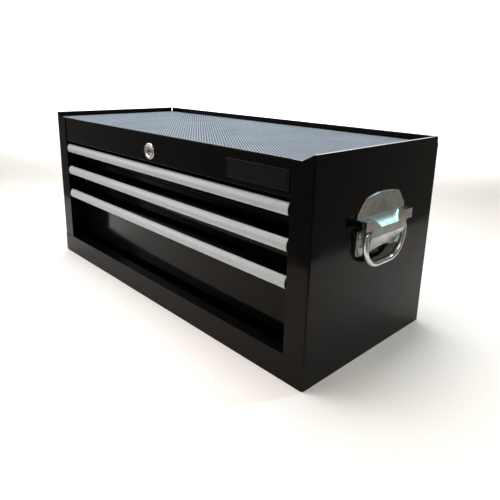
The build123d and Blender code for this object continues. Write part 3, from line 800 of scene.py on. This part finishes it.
class Workshop:
    """Makes each finish once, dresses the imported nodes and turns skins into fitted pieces."""

    def __init__(self) -> None:
        """Builds every finish of the chest."""
        self.materials = {look: look.value.build() for look in Look}

    def dress_nodes(self) -> None:
        """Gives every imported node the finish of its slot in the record."""
        for part in frame["record"]["subparts"]:
            mesh = frame["nodes"][part["node"]].data
            mesh.materials.clear()
            mesh.materials.append(self.materials[NODE_LOOKS[Slot(part["material_slot"])]])

    def fit(self, name: str, skin: Skin, body: str, look: Look, node: str,
            sharp: float = 32.0) -> bpy.types.Object:
        """Makes a piece from its skin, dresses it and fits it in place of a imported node.

        Args:
            name: The piece's name.
            skin: Its surfaces.
            body: The body that it rides on.
            look: Its finish.
            node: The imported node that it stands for.
            sharp: Angle in degrees past which an edge is drawn sharp.

        Returns:
            The piece.
        """
        mesh = skin.mesh(name, sharp)
        mesh.materials.append(self.materials[look])
        piece = new_object(name, mesh)
        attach(piece, body)
        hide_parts(node)
        log.info("%s: %d faces on %s", name, len(mesh.polygons), body)
        return piece


@dataclass
class Top:
    """The mat that lies in the top tray, and the blank plate on the rail below it."""

    workshop: Workshop
    mat_edge: float = 1.1
    mat_wave: float = 0.18
    mat_swells: tuple[float, float, float] = (31.0, 23.0, 70.0)
    mat_steps: tuple[int, int] = (90, 38)
    edge_steps: int = 5
    plate_corner: float = 1.8
    plate_edge: float = 0.5
    plate_eased: float = 0.15
    plate_sharpest: float = 0.3
    plate_flat: float = 0.4
    line_gap: float = 2.0
    line_width: float = 1.6
    line_depth: float = 0.55
    line_slope: float = 0.33

    def mat(self) -> None:
        """Makes the mat, a slab with soft edges whose face lies in slight waves.

        The face is at top - (1 - s) wave (1 + sin(x / a) cos(y / b + x / c)) / 2 - edge (1 - sqrt(1 - s^2)),
        where a, b and c are the swells and s goes from 0 to 1 over the last stretch before a side.
        """
        low, high = box_mm("top_mat")
        spans = [np.concatenate([
            start + self.mat_edge * np.linspace(0, 1, self.edge_steps),
            np.linspace(start + self.mat_edge, end - self.mat_edge, count)[1:-1],
            end - self.mat_edge * np.linspace(1, 0, self.edge_steps),
        ]) for start, end, count in zip(low[:2], high[:2], self.mat_steps)]
        x, y = np.meshgrid(*spans, indexing="ij")
        inside = np.minimum(np.minimum(x - low[0], high[0] - x), np.minimum(y - low[1], high[1] - y))
        share = 1 - np.clip(inside / self.mat_edge, 0, 1)
        fall = self.mat_edge * (1 - np.sqrt(1 - share ** 2))
        along, across, slant = self.mat_swells
        wave = self.mat_wave * (1 + np.sin(x / along) * np.cos(y / across + x / slant)) / 2
        face = np.stack([x, y, high[2] - fall - wave * (1 - share)], axis=-1)
        under = np.stack([x, y, np.full_like(x, low[2])], axis=-1)
        rims = [np.concatenate([grid[:, 0], grid[-1, 1:], grid[-2::-1, -1], grid[0, -2:0:-1]])
                for grid in (face, under)]
        skin = Skin().add(face, around=False, caps=False).add(under, around=False, caps=False)
        skin.add(np.stack(rims), around=True, caps=False)
        self.workshop.fit("woven_mat", skin, "cabinet", Look.VINYL, "top_mat", sharp=50)

    def plate(self) -> None:
        """Makes the blank plate, with a shallow line inside its edge and corners that tighten inwards."""
        low, high = box_mm("badge_plate")
        line_end = self.line_gap + self.line_width
        rows = [
            (0, high[1]), (0, low[1] + self.plate_edge), (self.plate_eased, low[1] + self.plate_eased),
            (self.plate_edge, low[1]), (self.line_gap, low[1]),
            (self.line_gap + self.line_slope, low[1] + self.line_depth),
            (line_end - self.line_slope, low[1] + self.line_depth),
            (line_end, low[1]), (line_end + self.plate_flat, low[1]),
        ]
        insets, places = zip(*rows)
        rings = [rectangle(low[[0, 2]] + inset, high[[0, 2]] - inset,
                           max(self.plate_corner - inset, self.plate_sharpest)) for inset in insets]
        skin = Skin().add(stack_rings(np.stack(rings), places, Axis.Y))
        self.workshop.fit("blank_plate", skin, "cabinet", Look.NYLON, "badge_plate", sharp=20)

    def build(self) -> None:
        """Makes the mat and the plate."""
        self.mat()
        self.plate()


@dataclass
class Lock:
    """The cam lock's chromed bezel and the plug that the key turns.

    The steps of its face, mouth and crown are how far in from the rim or out from the bore, and how deep.
    """

    workshop: Workshop
    centre: Pair = (5.0, 236.0)
    steps: int = 72
    rim_steps: int = 7
    seat_y: float = -128.8
    rim_round: float = 1.4
    face_step: tuple[Pair, ...] = ((2.6, 0.0), (2.9, 0.3))
    mouth: tuple[Pair, ...] = ((0.7, 0.8), (0.3, 0.85), (0.0, 1.2))
    barrel_radius: float = 9.5
    bore_radius: float = 6.56
    plug_radius: float = 6.5
    plug_crown: tuple[Pair, ...] = ((1.3, 0.0), (0.35, 0.12), (0.0, 0.5))
    keyway: Pair = (8.0, 2.2)
    keyway_depth: float = 12.0
    lead_width: float = 0.35
    lead_depths: Pair = (0.45, 0.1)
    socket_radius: float = 3.03
    socket_depth: float = 6.0
    # A dark shutter inside the keyway, which paints the shade deep in it
    shutter_set_back: float = 0.8
    shutter_gap: float = 0.12
    shutter_thickness: float = 1.2
    shutter_corner: float = 0.5
    shutter_edge: float = 0.2

    def bezel(self) -> None:
        """Makes the bezel and its barrel in one turned form, with a rounded rim and a dished face."""
        low, high = box_mm("lock_barrel")
        radius = high[0] - self.centre[0]
        turn = np.linspace(0, math.pi / 2, self.rim_steps)
        rim = np.stack([radius - self.rim_round * (1 - np.cos(turn)),
                        low[1] + self.rim_round * (1 - np.sin(turn))], axis=1)
        profile = np.concatenate([
            [(self.bore_radius, high[1]), (self.barrel_radius, high[1]), (self.barrel_radius, self.seat_y)],
            [(radius, self.seat_y)], rim,
            [(radius - inset, low[1] + depth) for inset, depth in self.face_step],
            [(self.bore_radius + gap, low[1] + depth) for gap, depth in self.mouth],
            [(self.bore_radius, high[1])],
        ])
        skin = Skin().add(revolve(profile, self.centre, Axis.Y, self.steps), caps=False)
        self.workshop.fit("lock_bezel", skin, "cabinet", Look.CHROME, "lock_barrel", sharp=40)

    def plug(self) -> None:
        """Makes the plug, whose front face spans from the keyway's outline to its round edge.

        The keyway's outline is at the distance min(a / |cos t|, b / |sin t|) from the middle at the angle t,
        so each of its points has one on the circle at the same angle.
        """
        low, high = box_mm("lock_plug")
        front = low[1]
        half_width, half_height = (size / 2 for size in self.keyway)
        corner = math.atan2(half_height, half_width)
        turns = np.concatenate([np.linspace(0, 2 * math.pi, self.steps, endpoint=False),
                                [corner, math.pi - corner, math.pi + corner, 2 * math.pi - corner]])
        turns = np.unique(np.round(turns, 6))
        circle = directions(turns)
        reach = np.min(np.array(self.keyway) / 2 / np.maximum(np.abs(circle), TINY), axis=1)
        slot = circle * reach[:, None]
        rings, places = zip(*[
            (slot, front + self.keyway_depth), (slot, front + self.lead_depths[0]),
            (slot + unit(slot) * self.lead_width, front + self.lead_depths[1]),
            *[(circle * (self.plug_radius - inset), front + depth) for inset, depth in self.plug_crown],
            (circle * self.plug_radius, high[1]), (circle * self.socket_radius, high[1]),
            (circle * self.socket_radius, high[1] - self.socket_depth),
        ])
        skin = Skin().add(stack_rings(np.stack(rings) + np.array(self.centre), places, Axis.Y))
        self.workshop.fit("key_plug", skin, "lock", Look.CHROME, "lock_plug", sharp=25)

    def shutter(self) -> None:
        """Makes the dark shutter a little way into the keyway, a black piece that paints the shade deep in
        it.
        """
        front = box_mm("lock_plug")[0][1] + self.shutter_set_back
        half = np.array(self.keyway) / 2 - self.shutter_gap
        outline = rectangle(-half, half, self.shutter_corner) + self.centre
        skin = Skin().add(carry(outline, front, front + self.shutter_thickness, Axis.Y, self.shutter_edge))
        self.workshop.fit("keyway_shade_shutter", skin, "lock", Look.NYLON, "lock_plug")

    def build(self) -> None:
        """Makes the bezel, the plug and the dark shutter that paints the shade in its keyway."""
        self.bezel()
        self.plug()
        self.shutter()


@dataclass
class Drawer:
    """A drawer: its folded front, its pull with two end caps, and its tray with rolled hems.

    The pull's points are a Y and a height from the pull's top.
    """

    workshop: Workshop
    number: int
    sheet: float = 1.0
    sheet_edge: float = 0.2
    face_y: float = -103.5
    bend: float = 1.3
    front_edge: float = 0.25
    lip_corner: float = 0.3
    pull_top: Pair = (-126.2, 0.0)
    pull_belly: Pair = (-130.0, -7.5)
    pull_low: Pair = (-128.4, -14.0)
    pull_skin: float = 1.2
    pull_rib: float = 1.05
    pull_grip_y: float = -117.2
    pull_hook_y: float = -124.3
    pull_brow: float = 1.1
    pull_tip: float = 0.45
    rib_corner: float = 0.4
    grip_gap: float = 0.05
    cap_foot: float = 4.4
    cap_edge: float = 0.5
    cap_tip: float = 0.7
    cap_back: tuple[float, float, float] = (0.8, 0.9, 0.8)
    hem: float = 4.0
    hem_bend: float = 0.9
    floor_bend: float = 1.6
    plate_corner: float = 1.1

    def name(self, part: str) -> str:
        """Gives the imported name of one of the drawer's parts."""
        return f"drawer_{self.number}_{part}"

    def fit(self, part: str, skin: Skin, look: Look, piece: str) -> None:
        """Fits a piece on the drawer's body in place of one of its parts."""
        self.workshop.fit(self.name(piece), skin, f"drawer_{self.number}", look, self.name(part))

    def front(self) -> None:
        """Makes the front: a sheet turned back below and forward above, into the lip that the pull grips."""
        low, high = box_mm(self.name("front"))
        face_x = box_mm(self.name("tray"))[1][0] + self.sheet
        half = self.sheet / 2
        profile = fold_sheet([
            (high[1], low[2] + half), (self.face_y, low[2] + half), (self.face_y, high[2] - half),
            (low[1], high[2] - half),
        ], [0, self.bend, self.bend, 0], self.sheet)
        skin = Skin().add(carry(profile, -face_x, face_x, Axis.X, self.front_edge))
        lip = rectangle((low[1], high[2] - self.sheet), (self.face_y - self.bend, high[2]), self.lip_corner)
        for start, end in ((low[0], -face_x), (face_x, high[0])):
            skin.add(carry(lip, start, end, Axis.X, self.sheet_edge))
        self.fit("front", skin, Look.ENAMEL, "folded_front")

    def pull(self) -> None:
        """Makes the pull, a bellied extrusion that hooks over the lip and runs back below it."""
        low, high = box_mm(self.name("pull"))
        face = arc_through(self.pull_top, self.pull_belly, self.pull_low, steps=15)
        inner = (face + (self.pull_skin, 0))[::-1]
        slot_high = -self.pull_rib
        slot_low = slot_high - self.sheet - self.grip_gap
        rib_low = slot_low - self.pull_rib
        inner_y = np.interp((rib_low, slot_low, slot_high), inner[:, 1], inner[:, 0])
        corners = np.concatenate([
            face, inner[inner[:, 1] < rib_low - self.rib_corner], [
                (inner_y[0], rib_low), (self.pull_grip_y, rib_low), (self.pull_grip_y, slot_low),
                (inner_y[1], slot_low), (inner_y[2], slot_high), (self.pull_hook_y, slot_high),
                (self.pull_hook_y, 0.0),
            ],
        ])
        radii = np.zeros(len(corners))
        radii[0] = self.pull_brow
        radii[[len(face) - 1, len(face)]] = self.pull_tip
        # The grip's low back corner and the hook's top one
        radii[[-6, -1]] = self.rib_corner
        outline = round_corners(corners, radii) + (0, high[2])
        skin = Skin().add(carry(outline, low[0], high[0], Axis.X, self.front_edge))
        self.fit("pull", skin, Look.ALUMINIUM, "full_width_pull")

    def end_caps(self) -> None:
        """Makes the two caps that close the pull's ends, plates with the pull's outline and eased edges."""
        low, high = box_mm(self.name("end_caps"))
        face = arc_through(self.pull_top, self.pull_belly, self.pull_low, steps=13)
        corners = np.concatenate([face, [
            (self.pull_low[0] + self.cap_foot, self.pull_low[1]), (self.pull_grip_y, self.pull_belly[1]),
            (self.pull_grip_y, 0.0),
        ]])
        radii = np.zeros(len(corners))
        radii[[0, len(face) - 1]] = self.cap_tip
        radii[-3:] = self.cap_back
        outline = round_corners(corners, radii) + (0, high[2])
        thickness = high[0] - box_mm(self.name("pull"))[1][0]
        skin = Skin()
        for start, end in ((low[0], low[0] + thickness), (high[0] - thickness, high[0])):
            skin.add(carry(outline, start, end, Axis.X, self.cap_edge))
        self.fit("end_caps", skin, Look.NYLON, "pull_caps")

    def tray(self) -> None:
        """Makes the tray: a sheet folded into floor, sides and hems, with a plate at each end."""
        low, high = box_mm(self.name("tray"))
        half = self.sheet / 2
        right = [
            (high[0] - half, low[2] + half), (high[0] - half, high[2] - half),
            (high[0] - self.hem, high[2] - half),
        ]
        left = [(-x, z) for x, z in right[::-1]]
        bends = [0, self.hem_bend, self.floor_bend, self.floor_bend, self.hem_bend, 0]
        section = fold_sheet(left + right, bends, self.sheet)
        skin = Skin().add(carry(section, low[1], high[1], Axis.Y, self.sheet_edge))
        plate = rectangle(low[[0, 2]] + self.sheet, high[[0, 2]] - self.sheet, self.plate_corner)
        for start, end in ((low[1], low[1] + self.sheet), (high[1] - self.sheet, high[1])):
            skin.add(carry(plate, start, end, Axis.Y, self.sheet_edge))
        self.fit("tray", skin, Look.ENAMEL, "folded_tray")

    def build(self) -> None:
        """Makes the front, pull, end caps and tray."""
        self.front()
        self.pull()
        self.end_caps()
        self.tray()


@dataclass
class DropHandle:
    """A drop handle: its pressed bracket, the bail and the rivets.

    Depths are from the panel, and heights from the bail's pivot.
    """

    workshop: Workshop
    side: Side
    panel_x: float = 305.0
    panel: float = 1.2
    pivot_z: float = 170.0
    plate: float = 2.4
    plate_edge: float = 0.7
    sheet: float = 1.8
    dome_half: float = 50.5
    dome_low: float = 16.0
    dome_side: float = 24.0
    shoulder: Pair = (35.5, 41.2)
    dome_top: float = 45.4
    shoulder_radius: float = 2.0
    strip_half: float = 48.8
    strip_span: Pair = (-27.5, 4.0)
    strip_lap: float = 2.0
    strip_radii: tuple[float, ...] = (1.0, 3.0, 4.0, 4.0, 1.0, 1.0, 4.0, 4.0)
    hood_half: float = 50.5
    hood_span: Pair = (6.2, 18.5)
    depth: float = 14.5
    body_half: float = 37.6
    fold: float = -3.6
    flap_end: Pair = (4.6, -25.0)
    flap_half: float = 28.0
    arch_half: float = 23.0
    arch_rise: float = 4.6
    recess_low: float = 6.8
    recess_halves: Pair = (18.5, 34.5)
    recess_depth: float = 3.6
    recess_dish: float = 0.9
    dish_shares: tuple[float, ...] = (0.2, 0.4, 0.6, 0.8)
    ramp_stops: tuple[float, ...] = (0.0, 5.0, 10.0, 15.0)
    side_stops: tuple[float, ...] = (23.0, 27.0, 31.0)
    press_radius: float = 0.6
    press_steps: int = 3
    press_angle: float = 24.0
    wire: float = 7.0
    bail_half: float = 42.0
    bail_drop: float = 41.0
    bail_corner: float = 29.0
    bail_bend: float = 4.2
    bail_depth: float = 9.5
    bail_stub: float = 12.0
    rivet_y: float = 41.5
    rivet_heights: Pair = (-17.0, -1.5)
    rivet_head: float = 3.3
    rivet_height: float = 1.5

    def name(self, part: str) -> str:
        """Gives the name of one of the handle's parts on its side."""
        return f"{self.side.name.lower()}_{part}"

    def place(self, grid: np.ndarray) -> np.ndarray:
        """Moves points of depth, y and height onto the chest's side."""
        x = self.side.value * (self.panel_x + grid[..., 0])
        return np.stack([x, grid[..., 1], grid[..., 2] + self.pivot_z], axis=-1)

    def back_plate(self) -> None:
        """Makes the plate against the panel: the dome above, the riveted strips below, with eased edges."""
        other = (-self.shoulder[0], self.shoulder[1])
        dome = arc_through(self.shoulder, (0, self.dome_top), other, steps=17)
        low, high = self.strip_span
        inner = self.body_half - self.strip_lap
        centre_low = self.flap_end[1] + self.arch_rise
        right = [
            (inner, centre_low), (inner, low), (self.strip_half, low), (self.strip_half, high),
            (self.body_half, high), (self.body_half, self.dome_low), (self.dome_half, self.dome_low),
            (self.dome_half, self.dome_side),
        ]
        dome_radii = np.zeros(len(dome))
        dome_radii[[0, -1]] = self.shoulder_radius
        left = [(-y, z) for y, z in right[::-1]]
        outline = round_corners(np.concatenate([right, dome, left]),
                                np.concatenate([self.strip_radii, dome_radii, self.strip_radii[::-1]]))
        skin = Skin().add(self.place(carry(outline, 0.0, self.plate, Axis.X, self.plate_edge)))
        node = self.name("handle_bracket")
        self.workshop.fit(self.name("handle_plate"), skin, "cabinet", Look.PRESSED_ZINC, node)

    def hood(self) -> None:
        """Makes the hood and body of one pressed sheet, as a section of depth and height that changes with y.

        The section runs out along the hood's top, back down the recess's ramp, out to the front, down to the
        fold and in along the flap. Past the recess's low corner its side rises evenly with y, so the ramp is
        cut short at that height, and the flap ends on an arc in its middle. At a share s of its length the
        ramp is dished square to itself by 4 s (1 - s) of the dish, times how far down it reaches there.
        """
        half = self.sheet / 2
        top, front = self.hood_span[1] - half, self.depth - half
        ramp_rise = (self.hood_span[1] - self.recess_low) / (self.depth - self.recess_depth)
        ramp_low = self.recess_low - half * math.hypot(1, ramp_rise) + half * ramp_rise
        ramp_back = front - (top - ramp_low) / ramp_rise
        low_half, high_half = self.recess_halves
        side_rise = (self.hood_span[1] - self.recess_low) / (high_half - low_half)
        side_low = self.recess_low - half * math.hypot(1, side_rise)
        foot = [low_half + (height - side_low) / side_rise for height in (ramp_low, top)]
        flap_run = (self.depth - self.flap_end[0]) / (self.fold - self.flap_end[1])
        body = self.body_half - half
        flap = self.flap_half - half
        fold = self.fold + half * (math.hypot(1, flap_run) - 1) / flap_run

        ends = np.array([*self.ramp_stops, foot[0], *self.side_stops, foot[1], body])
        y = np.concatenate([-ends[:0:-1], ends])
        side = np.clip(side_low + (np.abs(y) - low_half) * side_rise, ramp_low, top)
        ramp = front - (side - ramp_low) / ramp_rise
        sink = self.recess_dish / math.hypot(1, ramp_rise) * (top - side) / (top - ramp_low)
        dished = [
            (ramp_back + (ramp - ramp_back) * share - 4 * share * (1 - share) * sink * ramp_rise, y,
             top + (side - top) * share - 4 * share * (1 - share) * sink)
            for share in self.dish_shares
        ]
        arch_radius = (self.arch_half ** 2 + self.arch_rise ** 2) / (2 * self.arch_rise)
        end_y = y * flap / body
        inside = np.minimum(np.abs(end_y), self.arch_half)
        end = self.flap_end[1] + self.arch_rise - arch_radius + np.sqrt(arch_radius ** 2 - inside ** 2)
        full = np.full_like(y, 1.0)
        hem = self.hood_span[0]
        rows = [
            (self.plate / 2 * full, y, top * full), (ramp_back * full, y, top * full), *dished,
            (ramp, y, side), (front * full, y, side), (front * full, y, hem * full),
            (front * full, y, fold * full), (front - (fold - end) * flap_run, end_y, end),
        ]
        folded = np.stack([np.stack(row, axis=-1) for row in rows])
        skin = Skin().add(self.place(folded), around=False, caps=False)
        for sign in (-1, 1):
            wing_y = sign * np.array([body, self.hood_half])
            wing = [(self.plate / 2, top), (ramp_back, top), (front, top), (front, hem)]
            grid = np.array([[(depth, y_end, height) for y_end in wing_y] for depth, height in wing])
            skin.add(self.place(grid), around=False, caps=False)
            cheek = [(hem, body, front), (fold, body, front), (self.flap_end[1], flap, rows[-1][0][0])]
            grid = np.array([[(depth, sign * y_end, height) for depth in (self.plate / 2, reach)]
                             for height, y_end, reach in cheek])
            skin.add(self.place(grid), around=False, caps=False)
        node = self.name("handle_bracket")
        hood = self.workshop.fit(self.name("handle_hood"), skin, "cabinet", Look.PRESSED_ZINC, node)
        wall = hood.modifiers.new("sheet", "SOLIDIFY")
        wall.thickness = self.sheet * MM
        wall.offset = 0.0
        wall.solidify_mode = "NON_MANIFOLD"
        wall.nonmanifold_thickness_mode = "CONSTRAINTS"
        bend = hood.modifiers.new("press_radius", "BEVEL")
        bend.width = self.press_radius * MM
        bend.segments = self.press_steps
        bend.limit_method = "ANGLE"
        bend.angle_limit = math.radians(self.press_angle)
        bend.harden_normals = True

    def bail(self) -> None:
        """Makes the bail: a round wire carried along a rounded U, with its ends in the bracket's cheeks."""
        end_y = self.bail_half - self.bail_stub
        half, drop = self.bail_half, -self.bail_drop
        line = round_corners(
            [(end_y, 0), (half, 0), (half, drop), (-half, drop), (-half, 0), (-end_y, 0)],
            [0, self.bail_bend, self.bail_corner, self.bail_corner, self.bail_bend, 0],
            steps=14, closed=False,
        )
        path = np.insert(line, 0, self.bail_depth, axis=1)
        skin = Skin().add(self.place(tube(path, (1, 0, 0), self.wire / 2, steps=24)))
        bail = self.name("bail")
        self.workshop.fit(self.name("drop_bail"), skin, bail, Look.BRIGHT_ZINC, bail, sharp=40)

    def rivets(self, skin: Skin) -> None:
        """Adds the rivets of one side to a skin, each a domed head outside and another inside.

        Args:
            skin: The skin that they go into.
        """
        crown = np.linspace(0, math.pi / 2, 6)
        for y, height, (seat, way) in product((-self.rivet_y, self.rivet_y), self.rivet_heights,
                                              ((self.plate, 1), (-self.panel, -1))):
            rise = seat + way * self.rivet_height * np.sin(crown)
            cap = np.stack([self.rivet_head * np.cos(crown), rise], axis=1)
            closed = np.concatenate([[(0.0, seat)], cap])
            skin.add(self.place(revolve(closed, (y, height), Axis.X, steps=20)), caps=False)

    def build(self) -> None:
        """Makes the bracket's two pieces and the bail."""
        self.back_plate()
        self.hood()
        self.bail()


def build_rivets(workshop: Workshop, handles: Sequence[DropHandle]) -> None:
    """Makes the rivets of both handles as one piece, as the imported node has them.

    Args:
        workshop: The workshop that fits pieces.
        handles: The two handles.
    """
    skin = Skin()
    for handle in handles:
        handle.rivets(skin)
    workshop.fit("domed_rivets", skin, "cabinet", Look.BRIGHT_ZINC, "handle_rivets", sharp=50)


def main() -> None:
    """Builds the chest's looks."""
    logging.basicConfig(level=logging.INFO, format="%(name)s: %(message)s")
    Studio().build()
    workshop = Workshop()
    workshop.dress_nodes()
    Top(workshop).build()
    Lock(workshop).build()
    for number in (1, 2, 3):
        Drawer(workshop, number).build()
    handles = [DropHandle(workshop, side) for side in Side]
    for drop_handle in handles:
        drop_handle.build()
    build_rivets(workshop, handles)


if __name__ == "__main__":
    main()
